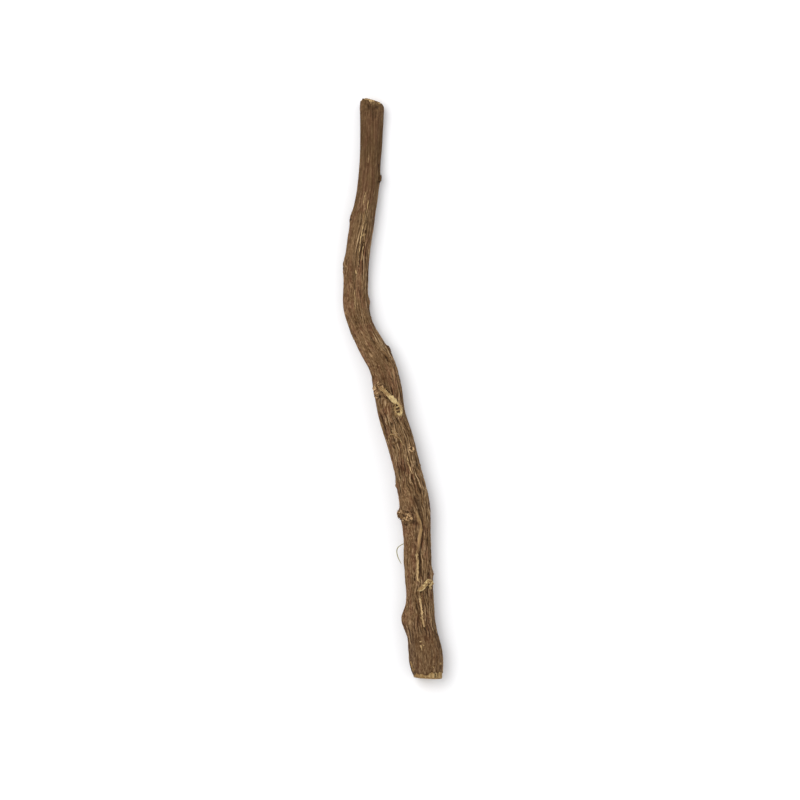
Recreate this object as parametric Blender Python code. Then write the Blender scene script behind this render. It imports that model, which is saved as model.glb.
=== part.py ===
"""One cut stick of licorice root, lying as it does on a table.

The root is one grown piece, so it is one solid: a bent, slightly oval stick with long wrinkles in
its bark, knots, the scars of broken rootlets, a peeled rootlet that lies across it, and two cut
ends. The numbers are millimetres and degrees. +Z is up, +Y is towards the thin end, and the origin
is on the table under the middle of the root. A place on the bark is given by its distance along the
root from the thin end and by its angle round it, where 0 is the right side, 90 the top and 180 the
left side.
"""

import math

import bmesh
import bpy
from mathutils import Matrix, Vector, noise

MM = 0.001

# The middle line, from the thin end to the thick one: x, y, the gap between the underside and the
# table, and the thickness. The gap is nothing at the root's three feet.
STATIONS = (
    (-6.7, 88.9, 0.3, 7.4),
    (-6.8, 82.0, -0.2, 6.7),
    (-7.3, 71.0, 0.3, 6.3),
    (-8.1, 61.5, 0.7, 6.7),
    (-9.6, 52.0, 0.8, 7.3),
    (-11.0, 42.0, 0.4, 7.6),
    (-11.5, 33.0, 0.0, 7.6),
    (-11.4, 25.5, 0.3, 8.0),
    (-9.7, 19.2, 0.7, 7.6),
    (-6.7, 13.2, 1.1, 8.2),
    (-3.3, 7.0, 1.5, 8.3),
    (-1.6, 0.0, 1.8, 8.6),
    (-0.5, -7.5, 2.0, 8.6),
    (2.0, -15.8, 2.0, 9.0),
    (4.5, -25.5, 1.8, 8.6),
    (6.4, -35.5, 1.5, 9.4),
    (7.2, -45.0, 1.2, 8.4),
    (7.6, -54.5, 0.9, 8.4),
    (8.4, -64.5, 0.6, 8.5),
    (8.8, -73.0, 0.3, 9.2),
    (10.0, -82.0, 0.0, 10.7),
    (10.3, -87.0, 0.1, 10.3),
    (10.4, -89.55, 0.3, 9.8),
)
FOOT_WEAR = 0.25  # how much of the underside is worn flat where it touches the table

# The fine wrinkles are two columns of the mesh wide: one column on the crest and one in the furrow.
WRINKLES = 26
COLUMNS = 2 * WRINKLES
RINGS = 76
WRINKLE_HEIGHT = 0.17
CREST_SHARE = 0.6  # how much deeper the furrows are than the crests are high
WRINKLE_RUN = 12.0  # length over which a wrinkle rises and fades
WRINKLE_VARIETY = 3.2  # how different neighbouring wrinkles are
FOLD_HEIGHT = 0.42  # the broad folds between which the wrinkles lie
FOLD_RUN = 26.0
FOLD_VARIETY = 1.5
WANDER_ANGLE = 0.32  # how far the wrinkles stray round the root
WANDER_RUN = 24.0
OVAL_SHARE = 0.025

# Swellings of the bark: along, angle, half length, half width, height. Below nothing is a hollow.
KNOTS = (
    (23.3, 4, 1.9, 1.6, 0.50),
    (36.5, 172, 2.2, 1.8, 0.50),
    (51.4, 174, 2.8, 1.8, 0.45),
    (80.3, 8, 2.0, 1.5, 0.45),
    (91.4, 145, 3.2, 2.4, 0.50),
    (131.6, 138, 2.6, 3.0, 0.70),
    (129.9, 176, 1.6, 2.0, 0.75),
    (163.2, 176, 4.3, 2.8, 1.75),
    (121.0, 205, 2.6, 2.0, 0.70),
    (150.0, 335, 2.8, 2.0, 0.75),
    (62.0, 345, 2.4, 1.8, 0.50),
    (44.0, 262, 2.2, 1.8, 0.40),
    (106.0, 285, 2.6, 2.2, 0.60),
    (2.2, 109, 1.3, 1.0, -0.45),
    (183.0, 178, 5.0, 3.2, -0.90),
    (0.0, 165, 1.2, 1.6, -0.50),
    (0.0, 12, 1.2, 1.6, -0.35),
)

# A low ridge where the bark grew over an old wound: along, angle.
WELT = ((124.0, 80), (130.1, 84), (133.2, 73), (135.4, 69), (138.5, 80), (142.3, 88), (147.0, 90))
WELT_HALF_WIDTH = 0.95
WELT_HEIGHT = 0.45

# Lumps of bark over rootlets that broke off: along, angle, radius, height.
LUMPS = (
    (90.8, 119, 1.30, 0.65),
    (92.6, 139, 1.15, 0.45),
    (90.2, 147, 1.00, 0.25),
    (130.3, 172, 1.10, 0.90),
    (131.2, 143, 1.35, 0.70),
    (131.9, 121, 1.15, 0.65),
    (131.2, 107, 0.85, 0.35),
    (80.3, 12, 0.95, 0.40),
    (23.3, 6, 0.95, 0.35),
    (60.5, 212, 1.10, 0.50),
    (117.0, 322, 1.20, 0.50),
    (146.5, 212, 1.10, 0.50),
    (171.0, 322, 1.35, 0.50),
)
LUMP_ROUGHNESS = 0.55
LUMP_HOLLOW = 0.60  # how far the middle of a lump has sunk, as a share of its height

# Rootlets that lie on the bark: points of along, angle, width and thickness.
PEELED_ROOTLET = (
    (91.0, 118, 1.5, 1.3),
    (92.2, 105, 1.4, 1.2),
    (93.8, 88, 1.3, 1.0),
    (95.4, 71, 1.6, 0.9),
    (96.6, 57, 1.3, 0.8),
)
FRAYED_END = (
    (96.2, 61, 0.7, 0.6),
    (97.6, 49, 0.6, 0.6),
    (99.2, 47, 0.6, 0.5),
    (100.4, 57, 0.7, 0.5),
    (100.2, 70, 0.6, 0.5),
    (98.9, 78, 0.5, 0.4),
)
ARCHED_SCAR = (
    (154.9, 98, 0.8, 0.6),
    (153.9, 79, 1.0, 0.8),
    (152.7, 58, 1.1, 0.9),
    (152.3, 42, 1.2, 1.0),
    (153.1, 26, 1.1, 0.9),
    (154.6, 31, 0.8, 0.6),
)
ROOTLET_SIDES = 7
ROOTLET_STEPS = 2  # pieces of tube from one point to the next
ROOTLET_PROUD = 0.22  # how far a lying rootlet's middle is above the bark

# The rings that lost rootlets leave: along, angle, radius of the ring, thickness of its rim.
RING_SCARS = ((110.8, 49, 0.75, 0.55), (107.0, 112, 1.20, 0.45), (37.0, 292, 0.85, 0.50))
RING_STEPS = 10
RING_SIDES = 5

# The two cuts: how far the cut face falls back at its top, and at its right side, against the
# opposite side.
THIN_CUT = (-2.4, 1.6)
THICK_CUT = (0.6, -0.8)
CUT_RINGS = ((0.88, 0.10), (0.45, 0.25))  # share of the radius, and how far the wood is proud there
BARK_CHIP = 0.45  # how raggedly the bark breaks away at a cut
CUT_REACH = 4.0  # how far from a cut the mesh is bent to follow it

BARK_COLOUR = (0.17, 0.10, 0.05, 1.0)


def clear_scene():
    for thing in list(bpy.data.objects):
        bpy.data.objects.remove(thing)


def station_distances():
    """How far along the middle line each station is."""
    found = [0.0]
    for before, after in zip(STATIONS, STATIONS[1:]):
        found.append(found[-1] + math.dist(before[:2], after[:2]))
    return found


DISTANCES = station_distances()
LENGTH = DISTANCES[-1]


def station_slope(row):
    """How fast the four values change at a station, from its neighbours."""
    low, high = max(row - 1, 0), min(row + 1, len(STATIONS) - 1)
    run = DISTANCES[high] - DISTANCES[low]
    return [(b - a) / run for a, b in zip(STATIONS[low], STATIONS[high])]


def station_at(along):
    """The four values at a distance along the root, on a smooth curve through the stations."""
    along = min(max(along, 0.0), LENGTH)
    row = max(i for i in range(len(STATIONS) - 1) if DISTANCES[i] <= along)
    step = DISTANCES[row + 1] - DISTANCES[row]
    t = (along - DISTANCES[row]) / step
    values = (STATIONS[row], station_slope(row), STATIONS[row + 1], station_slope(row + 1))
    smooth = 3 * t**2 - 2 * t**3
    weights = (1 - smooth, (t**3 - 2 * t**2 + t) * step, smooth, (t**3 - t**2) * step)
    return [sum(weight * value[i] for weight, value in zip(weights, values)) for i in range(4)]


def middle_at(along):
    """The middle line's point at a distance along the root."""
    x, y, gap, thickness = station_at(along)
    return Vector((x, y, gap + thickness / 2 - FOOT_WEAR))


def frame_at(along):
    """The middle point there, and the directions to the root's right, its top and its thick end."""
    nudge = 0.5
    onward = (middle_at(along + nudge) - middle_at(along - nudge)).normalized()
    right = Vector((0, 0, 1)).cross(onward).normalized()
    return middle_at(along), right, onward.cross(right), onward


def angle_between(a, b):
    return (a - b + math.pi) % (2 * math.pi) - math.pi


def around(angle, variety, along, run, seed):
    """A place for noise that closes round the root and is drawn out along it."""
    return Vector((variety * math.cos(angle), variety * math.sin(angle), along / run + seed))


def knots_at(angle, along, radius):
    """The height of the knots at a place on the bark."""
    total = 0.0
    for knot_along, degrees, half_length, half_width, height in KNOTS:
        off_along = (along - knot_along) / half_length
        off_round = angle_between(angle, math.radians(degrees)) * radius / half_width
        total += height * math.exp(-1.4 * (off_along**2 + off_round**2))
    return total


def welt_at(angle, along, radius):
    """The height of the welt at a place on the bark."""
    (first, _), (last, _) = WELT[0], WELT[-1]
    if not first < along < last:
        return 0.0
    row = max(i for i in range(len(WELT) - 1) if WELT[i][0] <= along)
    (start, start_degrees), (end, end_degrees) = WELT[row], WELT[row + 1]
    degrees = start_degrees + (along - start) / (end - start) * (end_degrees - start_degrees)
    off_round = angle_between(angle, math.radians(degrees)) * radius / WELT_HALF_WIDTH
    fade = math.sin(math.pi * (along - first) / (last - first))
    return WELT_HEIGHT * fade * math.exp(-(off_round**2))


def bark_radius(angle, along, wrinkle):
    """From the middle line to the bark. wrinkle is 1 on a wrinkle's crest and -1 in a furrow."""
    plain = station_at(along)[3] / 2
    oval = OVAL_SHARE * math.cos(2 * angle + along / 40)
    fold = FOLD_HEIGHT * noise.noise(around(angle, FOLD_VARIETY, along, FOLD_RUN, 3.7))
    strength = max(0.3, 0.8 + 1.1 * noise.noise(around(angle, WRINKLE_VARIETY, along, WRINKLE_RUN, 9.1)))
    raised = knots_at(angle, along, plain) + welt_at(angle, along, plain)
    return plain * (1 + oval) + fold + WRINKLE_HEIGHT * strength * (wrinkle - CREST_SHARE) + raised


def surface_point(angle, along, share=1.0, wrinkle=0.0, proud=0.0, shift=0.0):
    """A point on the bark, or inside it at a share of its radius, or shifted along the root."""
    middle, right, top, onward = frame_at(along)
    reach = bark_radius(angle, along, wrinkle) * share + proud
    point = middle + right * (reach * math.cos(angle)) + top * (reach * math.sin(angle)) + onward * shift
    return Vector((point.x, point.y, max(point.z, 0.0)))


def root_point(blank):
    """Where a point of the straight cylinder, which is one long and has a radius of one, goes."""
    share = math.hypot(blank.x, blank.y)
    along = (0.5 + blank.z) * LENGTH
    blank_angle = math.atan2(blank.y, blank.x)
    angle = blank_angle + WANDER_ANGLE * noise.noise(around(blank_angle, 1.0, along, WANDER_RUN, 0.4))
    at_thin_end = along < LENGTH / 2
    lean_top, lean_right = THIN_CUT if at_thin_end else THICK_CUT
    from_cut = min(along, LENGTH - along)
    fallen_back = (lean_top * math.sin(angle) + lean_right * math.cos(angle)) * share / 2
    if share < 0.99:
        fallen_back -= min(CUT_RINGS, key=lambda ring: abs(ring[0] - share))[1]
        wrinkle = 0.0
    else:
        chip = noise.noise(around(blank_angle, 4.0, 0.0, 1.0, 5.5 if at_thin_end else 8.5))
        fallen_back += BARK_CHIP * (0.5 + chip)
        wrinkle = math.cos(WRINKLES * blank_angle)
    shift = fallen_back * max(0.0, 1 - from_cut / CUT_REACH) * (1 if at_thin_end else -1)
    return surface_point(angle, along, share, wrinkle, shift=shift)


def make_rod(sides, rings):
    """A straight closed cylinder, one long and with a radius of one, cut into rings along its length."""
    rod = bmesh.new()
    bmesh.ops.create_cone(rod, cap_ends=True, segments=sides, radius1=1, radius2=1, depth=1)
    long_edges = [edge for edge in rod.edges if abs(edge.verts[0].co.z - edge.verts[1].co.z) > 0.5]
    bmesh.ops.subdivide_edges(rod, edges=long_edges, cuts=rings - 1)
    return rod


def new_object(name, bm):
    mesh = bpy.data.meshes.new(name)
    bm.to_mesh(mesh)
    bm.free()
    return bpy.data.objects.new(name, mesh)


def make_bark():
    """The stick itself: a straight rod with rings in its cut faces, bent and wrinkled point by point."""
    rod = make_rod(COLUMNS, RINGS)
    outer = 1.0
    for share, _ in CUT_RINGS:
        caps = [face for face in rod.faces if len(face.verts) == COLUMNS]
        bmesh.ops.inset_individual(rod, faces=caps, thickness=outer - share, use_even_offset=True)
        outer = share
    for vert in rod.verts:
        vert.co = root_point(vert.co) * MM
    return new_object("licorice_root", rod)


def on_bark(along, degrees, proud=0.0):
    """Stands a shape on the bark: its x along the root, its y round the root, its z outward."""
    middle, _, _, onward = frame_at(along)
    foot = surface_point(math.radians(degrees), along, proud=proud)
    outward = (foot - middle).normalized()
    axes = Matrix((onward, outward.cross(onward), outward)).transposed()
    return Matrix.Translation(foot) @ axes.to_4x4()


def make_lump(name, along, degrees, radius, height):
    """A rounded, uneven lump that is half sunk in the bark and has a hollow middle."""
    lump = bmesh.new()
    bmesh.ops.create_icosphere(lump, subdivisions=2, radius=1)
    stand = on_bark(along, degrees)
    for vert in lump.verts:
        x, y, z = vert.co * (1 + LUMP_ROUGHNESS * noise.noise(2.3 * vert.co + stand.translation))
        z *= 1 - LUMP_HOLLOW * max(0.0, z) ** 5
        vert.co = stand @ Vector((radius * x, radius * y, height * z)) * MM
    return new_object(name, lump)


def make_lying_rootlet(name, rows):
    """A thin rootlet that follows the bark, flattened against it and sunk in by about half."""

    def row_at(share):
        reach = min(max(share, 0.0), 1.0) * (len(rows) - 1)
        row = min(int(reach), len(rows) - 2)
        return [a + (reach - row) * (b - a) for a, b in zip(rows[row], rows[row + 1])]

    def middle_of(share):
        along, degrees, _, _ = row_at(share)
        return on_bark(along, degrees, ROOTLET_PROUD)

    rod = make_rod(ROOTLET_SIDES, ROOTLET_STEPS * (len(rows) - 1))
    for vert in rod.verts:
        share, nudge = vert.co.z + 0.5, 0.02
        _, _, width, thickness = row_at(share)
        outward = middle_of(share).col[2].xyz
        onward = middle_of(share + nudge).translation - middle_of(share - nudge).translation
        sideways = outward.cross(onward).normalized()
        reach = width / 2 * vert.co.x * sideways - thickness / 2 * vert.co.y * outward
        vert.co = (middle_of(share).translation + reach) * MM
    bmesh.ops.recalc_face_normals(rod, faces=rod.faces)
    return new_object(name, rod)


def make_ring_scar(name, along, degrees, radius, rim):
    """The low collar that a lost rootlet leaves: a thin ring half sunk in the bark."""
    bpy.ops.mesh.primitive_torus_add(
        major_segments=RING_STEPS, minor_segments=RING_SIDES, major_radius=radius, minor_radius=rim / 2
    )
    ring = bpy.context.active_object
    ring.name = name
    ring.data.transform(Matrix.Scale(MM, 4) @ on_bark(along, degrees))
    bpy.context.collection.objects.unlink(ring)
    return ring


def bark_material():
    material = bpy.data.materials.new("bark")
    material.use_nodes = True
    shader = material.node_tree.nodes["Principled BSDF"]
    shader.inputs["Base Color"].default_value = BARK_COLOUR
    shader.inputs["Roughness"].default_value = 0.8
    shader.inputs["Metallic"].default_value = 0.0
    return material


def fuse(root, grown_on):
    """Joins everything in the collection to the root as one solid, and removes the loose parts."""
    union = root.modifiers.new("grown_together", "BOOLEAN")
    union.operation = "UNION"
    union.operand_type = "COLLECTION"
    union.collection = grown_on
    union.solver = "EXACT"
    bpy.context.view_layer.update()
    graph = bpy.context.evaluated_depsgraph_get()
    joined = bpy.data.meshes.new_from_object(root.evaluated_get(graph))
    root.modifiers.remove(union)
    root.data = joined
    root.data.name = root.name
    for part in list(grown_on.objects):
        bpy.data.objects.remove(part)
    bpy.data.collections.remove(grown_on)


def main():
    clear_scene()
    scene_collection = bpy.context.scene.collection
    collection = bpy.data.collections.new("licorice_root")
    scene_collection.children.link(collection)
    root = make_bark()
    collection.objects.link(root)

    grown_on = bpy.data.collections.new("grown_on")
    scene_collection.children.link(grown_on)
    parts = [make_lump(f"lump_{i}", *lump) for i, lump in enumerate(LUMPS)]
    parts += [make_ring_scar(f"ring_scar_{i}", *scar) for i, scar in enumerate(RING_SCARS)]
    parts.append(make_lying_rootlet("peeled_rootlet", PEELED_ROOTLET))
    parts.append(make_lying_rootlet("frayed_end", FRAYED_END))
    parts.append(make_lying_rootlet("arched_scar", ARCHED_SCAR))
    for part in parts:
        grown_on.objects.link(part)
    fuse(root, grown_on)

    root.data.materials.clear()
    root.data.materials.append(bark_material())
    root.data.shade_smooth()
    root.data.set_sharp_from_angle(angle=math.radians(40))


main()
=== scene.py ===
# %% [markdown]
# # A licorice root
#
# A dried licorice root is a stick of wood in a thin brown bark that shrank as it dried, so the bark
# is drawn into long wrinkles. This lesson dresses the plain solid of one such root: it makes a fine
# bark over the same form, the small things that grew on it, and finishes for bark, callus and bare
# wood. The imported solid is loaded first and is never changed.

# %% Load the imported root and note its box
import functools
import math
import random

import bmesh
import bpy
from mathutils import Matrix, Vector, noise


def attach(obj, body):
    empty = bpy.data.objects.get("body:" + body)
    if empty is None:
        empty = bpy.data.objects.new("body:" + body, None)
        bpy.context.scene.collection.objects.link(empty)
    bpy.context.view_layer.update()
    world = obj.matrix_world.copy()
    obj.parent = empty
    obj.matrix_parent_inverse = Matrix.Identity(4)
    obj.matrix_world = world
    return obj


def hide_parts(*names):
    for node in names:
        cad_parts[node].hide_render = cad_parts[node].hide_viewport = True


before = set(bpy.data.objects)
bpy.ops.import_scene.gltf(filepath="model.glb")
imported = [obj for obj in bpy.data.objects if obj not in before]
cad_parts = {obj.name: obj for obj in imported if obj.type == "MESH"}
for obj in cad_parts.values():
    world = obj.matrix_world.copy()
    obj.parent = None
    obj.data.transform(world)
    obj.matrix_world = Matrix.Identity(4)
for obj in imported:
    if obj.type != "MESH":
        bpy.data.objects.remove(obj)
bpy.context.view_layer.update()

print("nodes:", sorted(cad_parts))

MM = 0.001

# %% [markdown]
# ## The camera
#
# The picture is taken from straight above, so the camera hangs over the table and looks down. A
# long lens from far away keeps both cut ends in view, as a product photographer would choose. The
# lens follows from the width of table that the picture takes in.

# %% Camera straight above
PICTURE_WIDTH = 248.0  # millimetres of table across the picture
PICTURE_MIDDLE = (2.1, -3.4)
CAMERA_HEIGHT = 2500.0
EYE_LEVEL = 5.0  # the height on the root at which the scale is right

camera_data = bpy.data.cameras.new("camera")
camera_data.sensor_width = 36.0
camera_data.lens = camera_data.sensor_width * (CAMERA_HEIGHT - EYE_LEVEL) / PICTURE_WIDTH
camera_data.clip_start = 0.01
camera_data.clip_end = 10.0
camera = bpy.data.objects.new("camera", camera_data)
camera.location = Vector((*PICTURE_MIDDLE, CAMERA_HEIGHT)) * MM
bpy.context.scene.collection.objects.link(camera)
bpy.context.scene.camera = camera
print("lens:", round(camera_data.lens), "mm")

# %% [markdown]
# ## Light and floor
#
# The root lies on a white sweep in soft light. Most of it is a bright even world, which leaves a
# soft grey halo where the root is close to the table. One large soft light hangs high up and a
# little to the left. It models the wrinkles and leaves the right flank darker.

# %% Soft light, world and floor
KEY_PLACE = Vector((-0.44, 0.34, 1.12))  # metres
KEY_WIDTH = 0.8
KEY_POWER = 8.4
WORLD_STRENGTH = 0.93
FLOOR_WIDTH = 6.0
FLOOR_WHITE = (0.86, 0.86, 0.87, 1.0)

key_data = bpy.data.lights.new("key", "AREA")
key_data.shape = "SQUARE"
key_data.size = KEY_WIDTH
key_data.energy = KEY_POWER
key = bpy.data.objects.new("key", key_data)
key.location = KEY_PLACE
key.rotation_euler = (-KEY_PLACE).to_track_quat("-Z", "Y").to_euler()
bpy.context.scene.collection.objects.link(key)

world = bpy.data.worlds.new("studio")
world.use_nodes = True
world.node_tree.nodes["Background"].inputs["Color"].default_value = (1.0, 1.0, 1.0, 1.0)
world.node_tree.nodes["Background"].inputs["Strength"].default_value = WORLD_STRENGTH
bpy.context.scene.world = world
bpy.context.scene.view_settings.view_transform = "Standard"

bpy.ops.object.select_all(action="DESELECT")
bpy.ops.mesh.primitive_plane_add(size=FLOOR_WIDTH, location=(0, 0, 0))
floor = bpy.context.active_object
floor.name = "floor"
floor_finish = bpy.data.materials.new("white_sweep")
floor_finish.use_nodes = True
floor_shader = floor_finish.node_tree.nodes["Principled BSDF"]
floor_shader.inputs["Base Color"].default_value = FLOOR_WHITE
floor_shader.inputs["Roughness"].default_value = 0.9
floor_shader.inputs["Specular IOR Level"].default_value = 0.1
floor.data.materials.append(floor_finish)
print("key light:", round(KEY_PLACE.length, 2), "m away")

# %% [markdown]
# ## The root's form
#
# The same few numbers that shape the solid shape the fine bark: a table of stations along the
# middle line, the knots, and the wrinkles. They are repeated here because this script reads only
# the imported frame. A place on the bark is a distance along the root from the thin end, in
# millimetres, and an angle round it, where 0 is the right side, 90 the top and 180 the left side.

# %% Stations along the middle line
# Each row: x, y, gap under the root and thickness, in millimetres.
STATIONS = (
    (-6.7, 88.9, 0.3, 7.4),
    (-6.8, 82.0, -0.2, 6.7),
    (-7.3, 71.0, 0.3, 6.3),
    (-8.1, 61.5, 0.7, 6.7),
    (-9.6, 52.0, 0.8, 7.3),
    (-11.0, 42.0, 0.4, 7.6),
    (-11.5, 33.0, 0.0, 7.6),
    (-11.4, 25.5, 0.3, 8.0),
    (-9.7, 19.2, 0.7, 7.6),
    (-6.7, 13.2, 1.1, 8.2),
    (-3.3, 7.0, 1.5, 8.3),
    (-1.6, 0.0, 1.8, 8.6),
    (-0.5, -7.5, 2.0, 8.6),
    (2.0, -15.8, 2.0, 9.0),
    (4.5, -25.5, 1.8, 8.6),
    (6.4, -35.5, 1.5, 9.4),
    (7.2, -45.0, 1.2, 8.4),
    (7.6, -54.5, 0.9, 8.4),
    (8.4, -64.5, 0.6, 8.5),
    (8.8, -73.0, 0.3, 9.2),
    (10.0, -82.0, 0.0, 10.7),
    (10.3, -87.0, 0.1, 10.3),
    (10.4, -89.55, 0.3, 9.8),
)
FOOT_WEAR = 0.25  # how deep the low spots are worn flat

# %% Wrinkles, folds and knots
# Heights and runs are in millimetres. A variety is how much noise changes on the way round.
WRINKLES = 26
WRINKLE_HEIGHT = 0.17
CREST_SHARE = 0.6
WRINKLE_RUN = 12.0
WRINKLE_VARIETY = 3.2
FOLD_HEIGHT = 0.42
FOLD_RUN = 26.0
FOLD_VARIETY = 1.5
WANDER_ANGLE = 0.32
WANDER_RUN = 24.0
OVAL_SHARE = 0.025
OVAL_RUN = 40.0
KNOT_STEEPNESS = 1.4

# Along, degrees, half length, half width, height.
KNOTS = (
    (23.3, 4, 1.9, 1.6, 0.50),
    (36.5, 172, 2.2, 1.8, 0.50),
    (51.4, 174, 2.8, 1.8, 0.45),
    (80.3, 8, 2.0, 1.5, 0.45),
    (91.4, 145, 3.2, 2.4, 0.50),
    (131.6, 138, 2.6, 3.0, 0.70),
    (129.9, 176, 1.6, 2.0, 0.75),
    (163.2, 176, 4.3, 2.8, 1.75),
    (121.0, 205, 2.6, 2.0, 0.70),
    (150.0, 335, 2.8, 2.0, 0.75),
    (62.0, 345, 2.4, 1.8, 0.50),
    (44.0, 262, 2.2, 1.8, 0.40),
    (106.0, 285, 2.6, 2.2, 0.60),
    (2.2, 109, 1.3, 1.0, -0.45),
    (183.0, 178, 5.0, 3.2, -0.90),
    (0.0, 165, 1.2, 1.6, -0.50),
    (0.0, 12, 1.2, 1.6, -0.35),
)
# Along and degrees.
WELT = ((124.0, 80), (130.1, 84), (133.2, 73), (135.4, 69), (138.5, 80), (142.3, 88), (147.0, 90))
WELT_HALF_WIDTH = 0.95
WELT_HEIGHT = 0.45

# How far a cut face falls back at its top and at its right side.
THIN_CUT = (-2.4, 1.6)
THICK_CUT = (0.6, -0.8)
BARK_CHIP = 0.27  # how far the bark's edge falls back at a cut
CUT_REACH = 4.0  # how far from a cut its lean is felt

# %% [markdown]
# ## Following the middle line
#
# Between two stations the values follow a cubic that leaves each station in the direction of its
# neighbours, so the stick bends without corners. At any distance along the line there is a frame:
# the middle point and the directions to the root's right, its top and onward to the thick end.

# %% The curve through the stations
NUDGE = 0.5  # a small step along the root, to find its direction
DISTANCES = [0.0]
for before, after in zip(STATIONS, STATIONS[1:]):
    DISTANCES.append(DISTANCES[-1] + math.dist(before[:2], after[:2]))
LENGTH = DISTANCES[-1]
print("length along the root:", round(LENGTH, 1), "mm")


def station_slope(row):
    """How fast each value changes at a station."""
    low, high = max(row - 1, 0), min(row + 1, len(STATIONS) - 1)
    run = DISTANCES[high] - DISTANCES[low]
    return [(b - a) / run for a, b in zip(STATIONS[low], STATIONS[high])]


@functools.lru_cache(maxsize=None)
def station_at(along):
    """x, y, gap under the root and thickness at a distance along it."""
    along = min(max(along, 0.0), LENGTH)
    row = max(i for i in range(len(STATIONS) - 1) if DISTANCES[i] <= along)
    step = DISTANCES[row + 1] - DISTANCES[row]
    t = (along - DISTANCES[row]) / step
    values = (STATIONS[row], station_slope(row), STATIONS[row + 1], station_slope(row + 1))
    smooth = 3 * t**2 - 2 * t**3
    weights = (1 - smooth, (t**3 - 2 * t**2 + t) * step, smooth, (t**3 - t**2) * step)
    return [sum(weight * value[i] for weight, value in zip(weights, values)) for i in range(4)]


def middle_at(along):
    """The middle of the root at a distance along it."""
    x, y, gap, thickness = station_at(along)
    return Vector((x, y, gap + thickness / 2 - FOOT_WEAR))


@functools.lru_cache(maxsize=None)
def frame_at(along):
    """The middle point, and the directions to the right, the top and the thick end."""
    onward = (middle_at(along + NUDGE) - middle_at(along - NUDGE)).normalized()
    right = Vector((0, 0, 1)).cross(onward).normalized()
    return middle_at(along), right, onward.cross(right), onward


# %% [markdown]
# ## The bark's relief
#
# Three sizes of relief lie over each other: the broad folds and knots, the long wrinkles, and fine
# furrows that split and fade. Noise that is drawn out along the root gives the last two. It is read
# on a circle round the root, so it closes without a seam.

# %% Broad form, as in the solid
def angle_between(a, b):
    """The short way round from b to a."""
    return (a - b + math.pi) % (2 * math.pi) - math.pi


def around(angle, variety, along, run, seed):
    """A place for noise that closes round the root and is drawn out along it."""
    return Vector((variety * math.cos(angle), variety * math.sin(angle), along / run + seed))


def near_patches(patches, reach, angle, along, radius):
    """For each patch close to a place: how far off its middle the place is, in half lengths and in
    half widths, and the rest of the patch's row."""
    for patch_along, degrees, half_length, half_width, *rest in patches:
        off_along = (along - patch_along) / half_length
        if abs(off_along) < reach:
            off_round = angle_between(angle, math.radians(degrees)) * radius / half_width
            yield off_along, off_round, *rest


def knots_at(angle, along, radius):
    """How far the knots raise or sink the bark."""
    total = 0.0
    for off_along, off_round, height in near_patches(KNOTS, 2.5, angle, along, radius):
        total += height * math.exp(-KNOT_STEEPNESS * (off_along**2 + off_round**2))
    return total


def line_angle(line, along):
    """The angle of a line on the bark, given as points of along and degrees, or None past its ends."""
    if not line[0][0] < along < line[-1][0]:
        return None
    row = max(i for i in range(len(line) - 1) if line[i][0] <= along)
    (start, start_degrees), (end, end_degrees) = line[row], line[row + 1]
    return math.radians(start_degrees + (along - start) / (end - start) * (end_degrees - start_degrees))


def welt_at(angle, along, radius):
    """How far the low welt raises the bark."""
    there = line_angle(WELT, along)
    if there is None:
        return 0.0
    fade = math.sin(math.pi * (along - WELT[0][0]) / (WELT[-1][0] - WELT[0][0]))
    return WELT_HEIGHT * fade * math.exp(-((angle_between(angle, there) * radius / WELT_HALF_WIDTH) ** 2))


# %% From the middle line to the bark
def bark_radius(angle, along, wrinkle):
    """From the middle line to the bark. wrinkle is 1 on a wrinkle's crest and -1 in the groove between two.
    """
    plain = station_at(along)[3] / 2
    oval = OVAL_SHARE * math.cos(2 * angle + along / OVAL_RUN)
    fold = FOLD_HEIGHT * noise.noise(around(angle, FOLD_VARIETY, along, FOLD_RUN, 3.7))
    strength = max(0.3, 0.8 + 1.1 * noise.noise(around(angle, WRINKLE_VARIETY, along, WRINKLE_RUN, 9.1)))
    raised = knots_at(angle, along, plain) + welt_at(angle, along, plain)
    return plain * (1 + oval) + fold + WRINKLE_HEIGHT * strength * (wrinkle - CREST_SHARE) + raised


def on_table(point):
    """Nothing of the root goes below the table."""
    return Vector((point.x, point.y, max(point.z, 0.0)))


def surface_point(angle, along, proud=0.0):
    """A point on the bark, or a little above or below it."""
    middle, right, top, _ = frame_at(along)
    reach = bark_radius(angle, along, 0.0) + proud
    return on_table(middle + right * (reach * math.cos(angle)) + top * (reach * math.sin(angle)))


print("half a thickness in the middle:", round(bark_radius(0.0, LENGTH / 2, 0.0), 2), "mm")

# %% [markdown]
# ## Bare wood on the bark
#
# In places the bark is gone and pale wood shows: in a long crack below the welt, in thin stripes
# and in small chips. Each is a line on the bark with a width, or a round spot. How bare a place is
# comes from its distance to the nearest of them, roughened by noise, so the edges are ragged. Small
# pits, darkened with painted shade, are kept the same way.

# %% Lines and spots where the bark is gone
BARE_FADE = 1.2  # millimetres over which a bare line sets in
RAGGEDNESS = 1.8
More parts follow.
